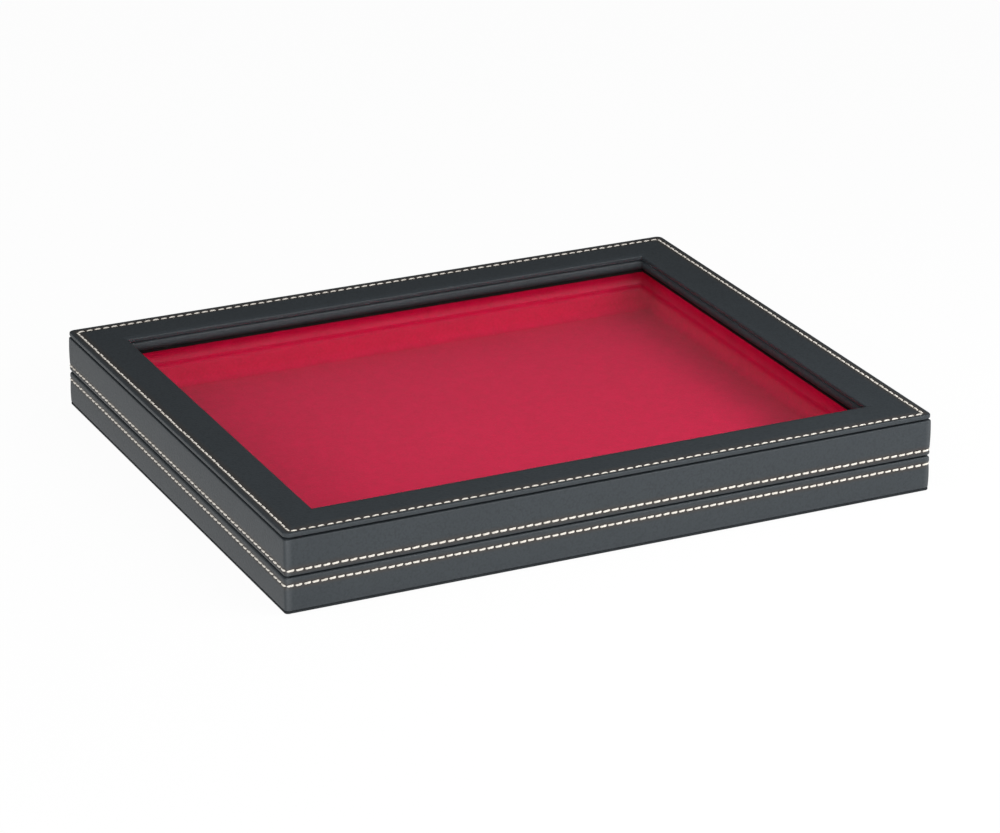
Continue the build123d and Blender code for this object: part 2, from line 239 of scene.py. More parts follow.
# ---------------------------------------------------------------- finishes
class Graph:
    """A node tree under construction."""

    def __init__(self, tree: bpy.types.NodeTree) -> None:
        """Take up a node tree."""
        self.nodes, self.links = tree.nodes, tree.links

    def add(self, kind: str, **settings: float | str | bool) -> bpy.types.Node:
        """Add a node and set its properties.

        Args:
            kind: The node's type, as in its full name after ShaderNode.
            **settings: Properties of the node.

        Returns:
            The new node.
        """
        node = self.nodes.new(f"ShaderNode{kind}")
        for key, value in settings.items():
            setattr(node, key, value)
        return node

    def feed(self, socket: Socket, value: object) -> None:
        """Link an output to a socket, or set the socket to a plain value.

        Args:
            socket: The input to feed.
            value: An output socket, a number or a colour.
        """
        if isinstance(value, Socket):
            self.links.new(value, socket)
        elif socket.type == "RGBA":
            socket.default_value = (*value, 1.0)
        else:
            socket.default_value = value

    def wire(self, node: bpy.types.Node, **values: object) -> bpy.types.NodeOutputs:
        """Feed a node's inputs, named with underscores for spaces.

        Args:
            node: The node.
            **values: Outputs or plain values by input name.

        Returns:
            The node's outputs.
        """
        for name, value in values.items():
            self.feed(node.inputs[name.replace("_", " ")], value)
        return node.outputs

    def fill(self, kind: str, *values: object, **settings: str) -> Socket:
        """Add a node and feed its first inputs in their order.

        Args:
            kind: The node's type.
            *values: Outputs or plain values.
            **settings: Properties of the node.

        Returns:
            The node's first output.
        """
        node = self.add(kind, **settings)
        for socket, value in zip(node.inputs, values):
            self.feed(socket, value)
        return node.outputs[0]

    def maths(self, operation: str, first: object, second: object) -> Socket:
        """One step of arithmetic on two outputs or numbers."""
        return self.fill("Math", first, second, operation=operation)

    def mix(self, share: object, first: Socket, second: Socket) -> Socket:
        """A mix of two surfaces or lights, by the share of the second one."""
        return self.fill("MixShader", share, first, second)

    def show(self, target: str, shown: Socket) -> None:
        """Feed the tree's last node, the Material Output or the World Output."""
        self.feed(self.nodes[target].inputs["Surface"], shown)


class Shader(Graph):
    """A material under construction: its nodes, fed by object coordinates."""

    def __init__(self, name: str) -> None:
        """Start a material of this name with one Principled surface."""
        self.material = bpy.data.materials.new(name)
        self.material.use_nodes = True
        super().__init__(self.material.node_tree)
        self.surface = self.nodes["Principled BSDF"]
        self.place = self.add("TexCoord").outputs["Object"]

    def set(self, **values: object) -> None:
        """Feed the surface's sockets, named with underscores for spaces."""
        self.wire(self.surface, **values)

    def noise(self, size: float, detail: float = 2.0, place: Socket | None = None) -> bpy.types.NodeOutputs:
        """Soft noise with blots of a size in metres: its Fac goes from 0 to 1."""
        vector = place or self.place
        return self.wire(self.add("TexNoise"), Scale=1 / size, Detail=detail, Vector=vector)

    def cells(self, size: float, place: Socket, feature: str = "F1") -> Socket:
        """Distance to the nearest of many scattered points, in cell sizes."""
        node = self.add("TexVoronoi", feature=feature)
        return self.wire(node, Scale=1 / size, Vector=place)["Distance"]

    def shaken(self, size: float, reach: float) -> Socket:
        """Object coordinates pushed about by noise, so that a pattern on them isn't regular."""
        push = self.noise(size)["Color"]
        return self.fill("VectorMath", push, (reach,) * 3, self.place, operation="MULTIPLY_ADD")

    def stretched(self, factors: Triple) -> Socket:
        """Object coordinates scaled along each axis."""
        return self.wire(self.add("Mapping"), Scale=factors, Vector=self.place)["Vector"]

    def span(self, value: Socket, low: float, high: float, start: float = 0.0, end: float = 1.0) -> Socket:
        """Map a value that goes from start to end onto one that goes from low to high, with soft ends."""
        ends = {"From_Min": start, "From_Max": end, "To_Min": low, "To_Max": high, "Value": value}
        return self.wire(self.add("MapRange", interpolation_type="SMOOTHSTEP"), **ends)["Result"]

    def blend(self, share: object, first: object, second: object) -> Socket:
        """A mix of two colours.

        Args:
            share: How much of the second colour shows.
            first: A colour or an output.
            second: A colour or an output.

        Returns:
            The mixed colour.
        """
        node = self.add("Mix", data_type="RGBA")
        for index, value in ((0, share), (6, first), (7, second)):  # the inputs of a mix of colours
            self.feed(node.inputs[index], value)
        return node.outputs[2]

    def bump(self, height: Socket, depth: float, under: Socket | None = None) -> Socket:
        """A normal bent by a pattern this deep in metres, over one that is already bent, if given."""
        beneath = {} if under is None else {"Normal": under}
        return self.wire(self.add("Bump"), Distance=depth, Height=height, **beneath)["Normal"]

    def painted(self, name: str) -> Socket:
        """A value painted on the mesh."""
        return self.add("Attribute", attribute_name=name).outputs["Fac"]


def shade(colour: Colour, factor: float) -> Colour:
    """A colour made lighter or darker by a factor."""
    return tuple(channel * factor for channel in colour)


@dataclass(frozen=True)
class Leatherette:
    """Grained black leatherette, a little dusty beside its stitches."""

    name: str = "leatherette"
    colour: Colour = (0.031, 0.0377, 0.043)
    dust: Colour = (0.044, 0.034, 0.028)
    # The lighter tone of the streak along each corner's fold.
    second_tone: Colour = (0.085, 0.093, 0.1)
    pebble: float = 0.9 * MM
    pebble_depth: float = 0.05 * MM
    fine_grain: float = 0.22 * MM
    fine_depth: float = 0.02 * MM
    blotches: float = 22 * MM
    roughness: float = 0.5
    gloss: float = 0.33

    def material(self) -> bpy.types.Material:
        """Build the material: pebbles, creases between them, fine grain, blotches, a lighter streak at the
        corners and painted shade towards the hem.
        """
        made = Shader(self.name)
        grain = made.shaken(self.pebble * 2, self.pebble * 0.6)
        pebbles = made.cells(self.pebble, grain, "SMOOTH_F1")
        fine = made.noise(self.fine_grain, 3.0)["Fac"]
        blotch = made.noise(self.blotches, 3.0)["Fac"]
        valley = made.span(pebbles, 0.0, 1.0, 0.25, 0.8)
        tone = made.blend(blotch, shade(self.colour, 0.94), shade(self.colour, 1.12))
        tone = made.blend(valley, tone, shade(self.colour, 0.84))
        tone = made.blend(made.maths("MULTIPLY", made.painted("near_row"), 0.9), tone, self.dust)
        # Painted shade: the window liner gets darker towards its hem.
        tone = made.blend(made.painted("hem_painted_shade"), tone, shade(self.colour, 0.15))
        # A lighter streak along the fold of each corner, broken up by the fine grain.
        streak = made.maths("MULTIPLY", made.painted("corner_streak"), made.span(fine, 0.2, 0.8, 0.35, 0.65))
        tone = made.blend(streak, tone, self.second_tone)
        normal = made.bump(made.span(pebbles, 1.0, 0.0, 0.1, 0.9), self.pebble_depth)
        normal = made.bump(fine, self.fine_depth, normal)
        rough = made.span(fine, self.roughness - 0.05, self.roughness + 0.07, 0.3, 0.7)
        made.set(Base_Color=tone, Roughness=rough, Normal=normal, Specular_IOR_Level=self.gloss)
        return made.material


@dataclass(frozen=True)
class Pile:
    """Short upright fibres on a ground: velour, or flock on plastic."""

    name: str
    colour: Colour
    tips: Colour
    bloom: Colour  # of the sheen at a low angle
    fibre: float = 0.22 * MM
    brushed: float = 5.0 * MM
    depth: float = 0.09 * MM
    gloss: float = 0.03
    sheen: float = 0.22
    sheen_roughness: float = 0.4

    def material(self) -> bpy.types.Material:
        """Build the material: fibre specks, faint brushed clouds and a soft sheen."""
        made = Shader(self.name)
        fibres = made.noise(self.fibre, 4.0, made.shaken(self.fibre * 4, self.fibre))["Fac"]
        clumps = made.noise(self.fibre * 5, 3.0)["Fac"]
        clouds = made.noise(self.brushed, 4.0)["Fac"]
        tone = made.blend(made.span(fibres, 0.0, 1.0, 0.3, 0.72), shade(self.colour, 0.84), self.tips)
        tone = made.blend(made.span(clumps, 0.0, 0.75, 0.35, 0.7), tone, shade(self.colour, 0.82))
        tone = made.blend(made.span(clouds, 0.0, 0.3, 0.35, 0.7), tone, shade(self.tips, 1.02))
        normal = made.bump(fibres, self.depth, made.bump(clumps, self.depth))
        rough = made.span(fibres, 0.82, 0.96)
        made.set(Base_Color=tone, Roughness=rough, Normal=normal, Specular_IOR_Level=self.gloss)
        made.set(Sheen_Weight=self.sheen, Sheen_Roughness=self.sheen_roughness, Sheen_Tint=self.bloom)
        return made.material


@dataclass(frozen=True)
class Thread:
    """Waxed cream thread of two plies."""

    name: str = "cream_thread"
    colour: Colour = (0.69, 0.653, 0.592)
    second_tone: Colour = (0.53, 0.485, 0.415)
    fibre: float = 0.09 * MM
    fibre_depth: float = 0.02 * MM
    grime: float = 6 * MM
    sheen: float = 0.2

    def material(self) -> bpy.types.Material:
        """Build the material: fine fibres along the plies, and a little grime at random."""
        made = Shader(self.name)
        fibres = made.noise(self.fibre, 3.0)["Fac"]
        grime = made.noise(self.grime, 3.0)["Fac"]
        tone = made.blend(made.span(grime, 0.0, 0.7, 0.42, 0.8), self.colour, self.second_tone)
        tone = made.blend(made.span(fibres, 0.0, 0.4, 0.4, 0.8), tone, shade(self.second_tone, 0.8))
        normal = made.bump(fibres, self.fibre_depth)
        rough = made.span(fibres, 0.5, 0.7)
        made.set(Base_Color=tone, Roughness=rough, Normal=normal, Sheen_Weight=self.sheen)
        return made.material


@dataclass(frozen=True)
class PressedBoard:
    """Board of pressed fibres, bare or dyed through."""

    name: str
    colour: Colour
    flecks: Colour
    fibre: float = 0.5 * MM
    depth: float = 0.05 * MM
    stretch: Triple = (0.35, 0.35, 1.0)
    roughness: float = 0.85
    gloss: float = 0.5

    def material(self) -> bpy.types.Material:
        """Build the material: matted fibres, flecks and a rough face."""
        made = Shader(self.name)
        matted = made.noise(self.fibre, 5.0, made.stretched(self.stretch))["Fac"]
        flecks = made.cells(self.fibre * 3, made.shaken(self.fibre * 4, self.fibre * 2))
        tone = made.blend(made.span(matted, 0.0, 1.0, 0.3, 0.7), shade(self.colour, 0.85), self.colour)
        tone = made.blend(made.span(flecks, 0.8, 0.0, 0.02, 0.3), tone, self.flecks)
        normal = made.bump(matted, self.depth)
        rough = made.span(matted, self.roughness - 0.06, self.roughness + 0.08)
        made.set(Base_Color=tone, Roughness=rough, Normal=normal, Specular_IOR_Level=self.gloss)
        return made.material


@dataclass(frozen=True)
class PlatedSteel:
    """Steel with a thin plating, brushed along X and handled."""

    name: str
    colour: Colour
    roughness: float = 0.28
    brush: float = 0.06 * MM
    brush_depth: float = 0.004 * MM
    smudge: float = 4 * MM
    stretch: Triple = (0.03, 1.0, 1.0)

    def material(self) -> bpy.types.Material:
        """Build the material: brush lines, and smudges that dull it."""
        made = Shader(self.name)
        lines = made.noise(self.brush, 2.0, made.stretched(self.stretch))["Fac"]
        smudge = made.noise(self.smudge, 4.0)["Fac"]
        tone = made.blend(made.span(smudge, 0.0, 0.5, 0.4, 0.75), self.colour, shade(self.colour, 0.8))
        dull = made.span(smudge, 0.0, 0.12, 0.4, 0.75)
        rough = made.maths("ADD", made.span(lines, self.roughness - 0.06, self.roughness + 0.08), dull)
        normal = made.bump(lines, self.brush_depth)
        made.set(Base_Color=tone, Roughness=rough, Normal=normal, Metallic=1.0)
        return made.material


@dataclass(frozen=True)
class ClearPane:
    """A clear sheet that lets lamps through, with the faintest dust."""

    name: str = "clear_pane"
    through: Colour = (0.93, 0.945, 0.94)
    ior: float = 1.46
    dust: float = 9 * MM
    dust_roughness: float = 0.012

    def material(self) -> bpy.types.Material:
        """Build the material: glass for sight, and a tinted see-through for lamps."""
        made = Shader(self.name)
        rough = made.span(made.noise(self.dust, 5.0)["Fac"], 0.0, self.dust_roughness, 0.5, 0.8)
        made.set(Base_Color=WHITE, Roughness=rough, Transmission_Weight=1.0, IOR=self.ior)
        lamps = made.fill("BsdfTransparent", self.through)
        to_lamp = made.add("LightPath").outputs["Is Shadow Ray"]
        made.show("Material Output", made.mix(to_lamp, made.surface.outputs[0], lamps))
        return made.material


class Finishes:
    """Every finish of the case, made once and shared."""

    def __init__(self) -> None:
        """Make the materials."""
        dark = shade(Leatherette.colour, 0.5)
        self.thread = Thread().material()
        self.sole = Leatherette("sole_leatherette", dark, roughness=0.75, gloss=0.2).material()
        finishes = {
            Slot.LEATHERETTE: Leatherette(),
            Slot.FIBREBOARD: PressedBoard("fibreboard", (0.36, 0.235, 0.13), (0.2, 0.12, 0.06)),
            Slot.BLACK_BOARD: PressedBoard(
                "black_board", (0.006, 0.005, 0.005), (0.012, 0.01, 0.01), gloss=0.08
            ),
            Slot.GREYBOARD: PressedBoard("greyboard", (0.3, 0.29, 0.27), (0.16, 0.15, 0.14), 0.3 * MM),
            Slot.VELOUR: Pile("black_velour", (0.008, 0.008, 0.009), (0.02, 0.02, 0.022), (0.1, 0.1, 0.11)),
            Slot.FLOCK: Pile("red_flock", (0.565, 0.0026, 0.045), (0.675, 0.004, 0.06), (1.0, 0.38, 0.52)),
            Slot.GLASS: ClearPane(),
            Slot.NICKEL: PlatedSteel("nickelled_steel", (0.62, 0.6, 0.56)),
            Slot.SCREW: PlatedSteel("screw_steel", (0.5, 0.49, 0.47), 0.35),
            Slot.MAGNET: PlatedSteel("magnet_steel", (0.45, 0.45, 0.46), 0.4),
        }
        self.by_slot = {slot: finish.material() for slot, finish in finishes.items()}

    def dress(self, piece: Piece, slot: Slot, special: bpy.types.Material | None = None) -> None:
        """Give a piece its slot's finish all over, or a special one that no slot has."""
        piece.data.materials.clear()
        piece.data.materials.append(special or self.by_slot[slot])

    def settle(
        self, piece: Piece, body: Body, slot: Slot, *replaced: str, special: bpy.types.Material | None = None
    ) -> None:
        """Dress a finished piece, hang it on the body that it rides on, and hide the CAD nodes that it
        stands for.

        Args:
            piece: The finished piece, with its place in its mesh.
            body: The body that it moves with.
            slot: The material slot of the record.
            *replaced: The CAD nodes that it stands for.
            special: A finish that no slot has, or None.
        """
        self.dress(piece, slot, special)
        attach(piece, body.value)
        if replaced:
            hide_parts(*replaced)
        log.info("%s rides on %s, %d faces", piece.name, body.value, len(piece.data.polygons))


# ---------------------------------------------------------------- sheets drawn round the box
@dataclass
class Section:
    """The section of a sheet: stations, each with its inset from the box, its height and a corner radius."""

    stations: list[Triple] = field(default_factory=list)

    def at(self, inset: float, height: float, corner: float) -> None:
        """Add one station, with its plan radius at the four corners."""
        self.stations.append((inset, height, corner))

    def bulge(
        self,
        start: tuple[float, float],
        end: tuple[float, float],
        swell: tuple[float, float],
        corners: tuple[float, ...],
    ) -> None:
        """Add a padded stretch between two places but not at them, a station for each corner radius.

        Args:
            start: The first inset and height.
            end: The last inset and height.
            swell: How much inset and height the middle gains.
            corners: The corner radius of each station.
        """
        for step, corner in enumerate(corners, 1):
            share = step / (len(corners) + 1)
            rise = math.sin(math.pi * share)
            inset, height = (a + (b - a) * share + gain * rise for a, b, gain in zip(start, end, swell))
            self.at(inset, height, corner)

    def roll(
        self, inset: float, height: float, radius: float, start: float, end: float, corner: float, steps: int
    ) -> None:
        """Add a rolled edge.

        Args:
            inset: The inset of the roll's axis.
            height: The height of the roll's axis.
            radius: The roll's radius.
            start: The first angle, in degrees up from outwards.
            end: The last angle.
            corner: The plan radius at the corners.
            steps: How many steps it takes.
        """
        for step in range(steps + 1):
            angle = math.radians(start + (end - start) * step / steps)
            self.at(inset - radius * math.cos(angle), height + radius * math.sin(angle), corner)


class RingSheet:
    """A sheet drawn round the box ring by ring, each ring extruded from the last one."""

    corner_steps = 5
    corner_margin = 0.02 * MM  # past a corner's arc, within which its vertices are looked for

    def __init__(
        self,
        name: str,
        half: Vector,
        section: Section,
        columns: tuple[int, int] = (1, 1),
        closed: bool = False,
    ) -> None:
        """Draw the sheet.

        Args:
            name: The piece's name.
            half: Half the length and half the width of the box.
            section: The stations of the sheet's section.
            columns: How many columns divide a long and a short side.
            closed: True if the first and the last ring are filled.
        """
        self.half = half
        self.inset, self.height, self.corner = section.stations[0]
        deselect()
        bpy.ops.mesh.primitive_plane_add(size=2.0, location=(0, 0, self.height))
        self.piece = bpy.context.object
        self.piece.name = self.piece.data.name = name
        self.piece.scale = (half.x - self.inset, half.y - self.inset, 1)
        bpy.ops.object.transform_apply(location=True, rotation=True, scale=True)
        with editing(self.piece):
            select_all()
            bpy.ops.mesh.bevel(offset=self.corner, segments=self.corner_steps, affect="VERTICES")
            if not closed:
                bpy.ops.mesh.delete(type="ONLY_FACE")
            bpy.ops.mesh.select_mode(type="EDGE")
            for axis, count in enumerate(columns):
                if count > 1:
                    self.pick_sides(axis)
                    bpy.ops.mesh.subdivide(number_cuts=count - 1)
            select_all()
            for station in section.stations[1:]:
                self.grow(*station)
            if closed:
                bpy.ops.mesh.edge_face_add()
                select_all()
                bpy.ops.mesh.normals_make_consistent(inside=False)

    def pick_sides(self, axis: int) -> None:
        """Select the two straight sides that run along an axis."""

        def is_side(edge: bmesh.types.BMEdge) -> bool:
            """Whether the edge is too long to be one of a corner's."""
            start, end = edge.verts
            return abs(start.co[axis] - end.co[axis]) > self.half[axis]

        select(self.piece, "edges", is_side)

    def grow(self, inset: float, height: float, corner: float) -> None:
        """Extrude the last ring to a new station.

        Args:
            inset: The new ring's inset.
            height: The new ring's height.
            corner: The new ring's corner radius.
        """
        bpy.ops.mesh.extrude_edges_move(TRANSFORM_OT_translate={"value": (0, 0, height - self.height)})
        if inset != self.inset:
            factors = [(span - inset) / (span - self.inset) for span in self.half]
            bpy.ops.transform.resize(value=(*factors, 1), center_override=MIDDLE)
        if corner != self.corner:
            self.reshape_corners(inset, height, corner)
        self.inset, self.height, self.corner = inset, height, corner

    def reshape_corners(self, inset: float, height: float, corner: float) -> None:
        """Scale the four corner arcs of the last ring about the sharp corners, and select the ring again.

        Args:
            inset: The ring's inset.
            height: The ring's height.
            corner: The new radius.
        """
        mesh = bmesh.from_edit_mesh(self.piece.data)
        ring = {vertex.index for vertex in mesh.verts if vertex.select}
        share = corner / self.corner
        reach = self.corner + self.corner_margin
        for across in (-1, 1):
            for along in (-1, 1):
                tip = Vector((across * (self.half.x - inset), along * (self.half.y - inset)))

                def on_arc(vertex: bmesh.types.BMVert) -> bool:
                    """Whether the vertex belongs to the ring's arc at this corner."""
                    return vertex.index in ring and all(abs(gap) < reach for gap in vertex.co.xy - tip)

                select(self.piece, "verts", on_arc)
                bpy.ops.transform.resize(value=(share, share, 1), center_override=(*tip, height))
        select(self.piece, "edges", lambda edge: all(vertex.index in ring for vertex in edge.verts))

    def face_out(self, facing: Vector) -> None:
        """Turn the faces so that the one furthest along a direction looks that way.

        Args:
            facing: The direction.
        """
        furthest = max(self.piece.data.polygons, key=lambda face: face.center.dot(facing) + face.area)
        if furthest.normal.dot(facing) < 0:
            with editing(self.piece, "FACE"):
                select_all()
                bpy.ops.mesh.flip_normals()

    def finish(self, thickness: float = 0.0, degrees: float = 50.0) -> Piece:
        """Thicken the sheet inwards and shade it smooth.

        Args:
            thickness: Its thickness, or 0 for a closed sheet.
            degrees: Edges sharper than this stay sharp.

        Returns:
            The piece.
        """
        if thickness:
            apply_modifier(self.piece, "SOLIDIFY", thickness=thickness, offset=-1.0, use_even_offset=True)
        smooth(self.piece, degrees)
        return self.piece


# ---------------------------------------------------------------- stitches
@dataclass(frozen=True)
class Channel:
    """The trough that a row of stitches pulls into the padding."""

    half_width: float = 1.0 * MM
    depth: float = 0.28 * MM
    pucker: float = 0.16 * MM
    dusty: float = 2.2 * MM  # how far from the row the leatherette is dull
    shares: tuple[float, ...] = (-1.0, -0.62, -0.3, 0.0, 0.3, 0.62, 1.0)

    def dips(self) -> Iterator[tuple[float, float]]:
        """Offsets across the row, and the depth at each."""
        for share in self.shares:
            yield share * self.half_width, self.depth * math.cos(share * math.pi / 2) ** 1.5


@dataclass(frozen=True)
class Dash:
    """One dash of thread of unit length along X: two twisted plies whose ends dive into the leatherette."""

    sides: int = 8
    cuts: tuple[float, ...] = (-0.4, -0.24, -0.08, 0.08, 0.24, 0.4)
    waist: float = 0.76  # how thin it is between the two plies
    crease: float = 0.45  # how far out from the middle the plies meet
    twist: float = 230.0  # degrees
    sharp: float = 70.0  # degrees
    ends: tuple[Triple, ...] = ((0.39, 0.86, -0.1), (0.49, 0.6, -0.42))  # from where, how thin, how high

    def build(self) -> Piece:
        """Model the dash."""
        deselect()
        bpy.ops.mesh.primitive_cylinder_add(
            vertices=self.sides, radius=0.5, depth=1.0, rotation=(0, math.pi / 2, 0)
        )
        dash = bpy.context.object
        bpy.ops.object.transform_apply(location=True, rotation=True, scale=True)
        with editing(dash):
            for cut in self.cuts:
                cut_through((cut, 0, 0), (1, 0, 0))
            select(dash, "verts", lambda vertex: abs(vertex.co.y) > self.crease)
            bpy.ops.transform.resize(value=(1, self.waist, 1), center_override=MIDDLE)
        twist = math.radians(self.twist)
        apply_modifier(dash, "SIMPLE_DEFORM", deform_method="TWIST", deform_axis="X", angle=twist)
        with editing(dash):
            for start, thin, high in self.ends:
                select(dash, "verts", lambda vertex: abs(vertex.co.x) > start)
                bpy.ops.transform.resize(value=(1, thin, thin), center_override=MIDDLE)
                bpy.ops.transform.translate(value=(0, 0, high))
        smooth(dash, self.sharp)
        return dash


@dataclass
class StitchRow:
    """A row of machine stitches round the box, each one a dash of thread of its own."""

    name: str
    body: Body
    upright: bool  # True on the walls, False on the top
    height: float
    inset: float
    counts: tuple[int, int]  # stitches on a long and on a short side
    half: Vector
    seed: int
    end_gap: float = 0.5 * MM
    share: float = 0.79  # of the pitch that the thread covers
    width: float = 0.98 * MM
    thickness: float = 0.8 * MM
    slant: float = 5.0  # degrees
    stray: float = 2.5  # degrees that a stitch may lean off the slant
    wander: float = 0.08 * MM  # how far a stitch may lie off the row
    shift: float = 0.0  # of the whole row, along Y
    slip: float = 0.02  # of the pitch that a stitch may lie too far along the row
    longer: float = 0.03  # share by which a stitch may be too long or too short
    wider: float = 0.05  # share by which it may be too wide or too narrow

    def build(self, finishes: Finishes) -> None:
        """Model one dash, copy it along the four sides and join the copies.

        Args:
            finishes: The finishes.
        """
        draw = random.Random(self.seed)
        dash = Dash().build()
        copies = []
        for side in Side:
            for place in self.places(side, draw):
                copy = dash.copy()
                copy.data = dash.data.copy()
                copy.data.transform(place)
                bpy.context.collection.objects.link(copy)
                copies.append(copy)
        bpy.data.objects.remove(dash)
        pick(*copies)
        bpy.ops.object.join()
        row = bpy.context.object
        row.name = row.data.name = self.name
        finishes.settle(row, self.body, Slot.LEATHERETTE, special=finishes.thread)

    def out(self, side: Side) -> Vector:
        """The way that a side's stitches face."""
        return side.facing if self.upright else UP

    def pull_holes(self, piece: Piece, end: float, channel: Channel) -> None:
        """Pull a sheet in at the row's needle holes, on every second column of its mesh.

        Args:
            piece: The sheet.
            end: How far before the box's corners its first hole lies.
            channel: The channel that the row lies in.
        """
        with editing(piece):
            for side in Side:
                reach, away, count = side.spans(self.half, self.counts)
                reach -= end

                def is_hole(vertex: bmesh.types.BMVert) -> bool:
                    """Whether the vertex is a needle hole of this side."""
                    inset = away - vertex.co.dot(side.facing) - self.inset
                    height = vertex.co.z - self.height
                    beside, depth = (height, inset) if self.upright else (inset, -height)
                    column = (vertex.co.dot(side.running) + reach) / (reach / count)
                    return abs(beside) < NEAR and depth < channel.depth + NEAR and round(column) % 2 == 0

                select(piece, "verts", is_hole)
                bpy.ops.transform.translate(value=-self.out(side) * channel.pucker)

    def places(self, side: Side, draw: random.Random) -> Iterator[Matrix]:
        """The place of each stitch of one side.

        Args:
            side: The side.
            draw: The source of small differences between stitches.

        Yields:
            The matrix that brings the dash there.
        """
        across, away, count = side.spans(self.half, self.counts)
        reach = across - self.inset - self.end_gap
        pitch = 2 * reach / count
        out = self.out(side)
        inwards = out.cross(side.running)
        for index in range(count):
            along = -reach + (index + 0.5 + draw.uniform(-self.slip, self.slip)) * pitch
            centre = side.facing * (away - self.inset) + side.running * along
            centre.z = self.height
            centre.y += self.shift
            centre += inwards * draw.uniform(-self.wander, self.wander)
            lean = math.radians(self.slant + draw.uniform(-self.stray, self.stray))
            ahead = side.running * math.cos(lean) + inwards * math.sin(lean)
            turn = Matrix((ahead, out.cross(ahead), out)).transposed().to_4x4()
            length = pitch * self.share * draw.uniform(1 - self.longer, 1 + self.longer)
            width = self.width * draw.uniform(1 - self.wider, 1 + self.wider)
            yield Matrix.Translation(centre) @ turn @ Matrix.Diagonal((length, width, self.thickness, 1))


# ---------------------------------------------------------------- the wrapped halves
@dataclass
class Band:
    """A padded leatherette band round one half of the box, with its row of stitches."""

    body: Body
    row_from_lip: float
    counts: tuple[int, int]
    seed: int
    corner: float = 1.5 * MM
    inner_corner: float = 0.3 * MM
    lip_radius: float = 0.9 * MM
    lip_setback: float = 0.15 * MM  # of the lip's face from the CAD's, along Z
    seam_setback: float = 0.1 * MM  # the same at the other edge
    seam_radius: float = 0.5 * MM
    swell: float = 0.12 * MM
    lip_swell: float = 0.05 * MM
    skin: float = 0.6 * MM
    streak_inset: float = 1.2 * MM  # from the corner to the lighter streak
    streak_reach: float = 1.1 * MM
    channel: Channel = Channel()
    thread_sink: float = 0.01 * MM  # of the thread's middle, inside the face
    leaf: float = 0.8 * MM  # how deep a hinge leaf lies in the lip
    hinge_reach: float = 0.15 * MM  # free room round a hinge leaf

    def build(self, finishes: Finishes) -> None:
        """Draw the band, pucker it, cut it round the hinges and sew it.

        Args:
            finishes: The finishes.
        """
        node = f"{self.body.value}_wrap"
        low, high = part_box(node)
        half = high.xy
        fold = half.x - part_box("base_board")[1].x
        lip, seam, up = (high.z, low.z, 1) if self.body is Body.BASE else (low.z, high.z, -1)
        row = lip - up * self.row_from_lip
        name, sink = f"{self.body.value}_stitches", self.thread_sink
        stitches = StitchRow(name, self.body, True, row, sink, self.counts, half, self.seed)
        lip -= up * self.lip_setback
        seam += up * self.seam_setback
        columns = (2 * self.counts[0], 2 * self.counts[1])
        section = self.section(lip, seam, up, row, fold)
        sheet = RingSheet(f"{self.body.value}_leatherette", half, section, columns)
        sheet.face_out(up * UP)
        stitches.pull_holes(sheet.piece, self.corner, self.channel)
        self.cut_hinges(sheet.piece, lip, up)
        paint_near(sheet.piece, "near_row", lambda co: abs(co.z - row), self.channel.dusty)
        paint_near(sheet.piece, "corner_streak", lambda co: self.from_streak(co, half), self.streak_reach)
        finishes.settle(sheet.finish(self.skin), self.body, Slot.LEATHERETTE, node)
        stitches.build(finishes)

    def section(self, lip: float, seam: float, up: int, row: float, fold: float) -> Section:
        """The band's section, from the fold at its seam to the inner edge of its lip.

        Args:
            lip: The height of the lip's face.
            seam: The height of the other edge.
            up: 1 if the lip is on top, -1 if it is at the bottom.
            row: The height of the stitches.
            fold: How far inside the box both edges reach.

        Returns:
            The section.
        """
        made = Section()
        made.at(fold, seam, self.inner_corner)
        start = seam + up * self.seam_radius
        made.roll(self.seam_radius, start, self.seam_radius, -90 * up, 0, self.corner, 4)
        width = up * self.channel.half_width
        made.bulge((0, start), (0, row - width), (-self.swell, 0), (self.corner,) * 7)
        for offset, dip in self.channel.dips():
            made.at(dip, row + up * offset, self.corner)
        roll = lip - up * self.lip_radius
        made.bulge((0, row + width), (0, roll), (-self.lip_swell, 0), (self.corner,) * 2)
        made.roll(self.lip_radius, roll, self.lip_radius, 0, 90 * up, self.corner, 6)
        made.at(fold / 2, lip, self.corner)
        made.at(fold, lip, self.inner_corner)
        return made

    def from_streak(self, co: Vector, half: Vector) -> float:
        """Distance of a place from the lighter streak along its corner."""
        back = half.y - abs(co.y)
        return abs(half.x - abs(co.x) - self.streak_inset) + max(0.0, back - self.lip_radius)

    def cut_hinges(self, band: Piece, lip: float, up: int) -> None:
        """Cut the lip away round the two hinge leaves.

        Args:
            band: The band.
            lip: The height of the lip's face.
            up: 1 if the lip is on top, -1 if it is at the bottom.
        """
        deep = self.leaf + self.hinge_reach
        for hand in ("left", "right"):
            low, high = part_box(f"{self.body.value}_hinge_leaf_{hand}")
            left, right = low.x - self.hinge_reach, high.x + self.hinge_reach
            front = low.y - self.hinge_reach

            def in_notch(face: bmesh.types.BMFace) -> bool:
                """Whether the face lies where the hinge leaf does."""
                middle = face.calc_center_median()
                return left < middle.x < right and middle.y > front and abs(middle.z - lip) < deep

            with editing(band, "FACE"):
                for across in (left, right):
                    cut_through((across, 0, 0), (1, 0, 0))
                cut_through((0, front, 0), (0, 1, 0))
                cut_through((0, 0, lip - up * deep), (0, 0, 1))
                select(band, "faces", in_notch)
                bpy.ops.mesh.delete(type="FACE")


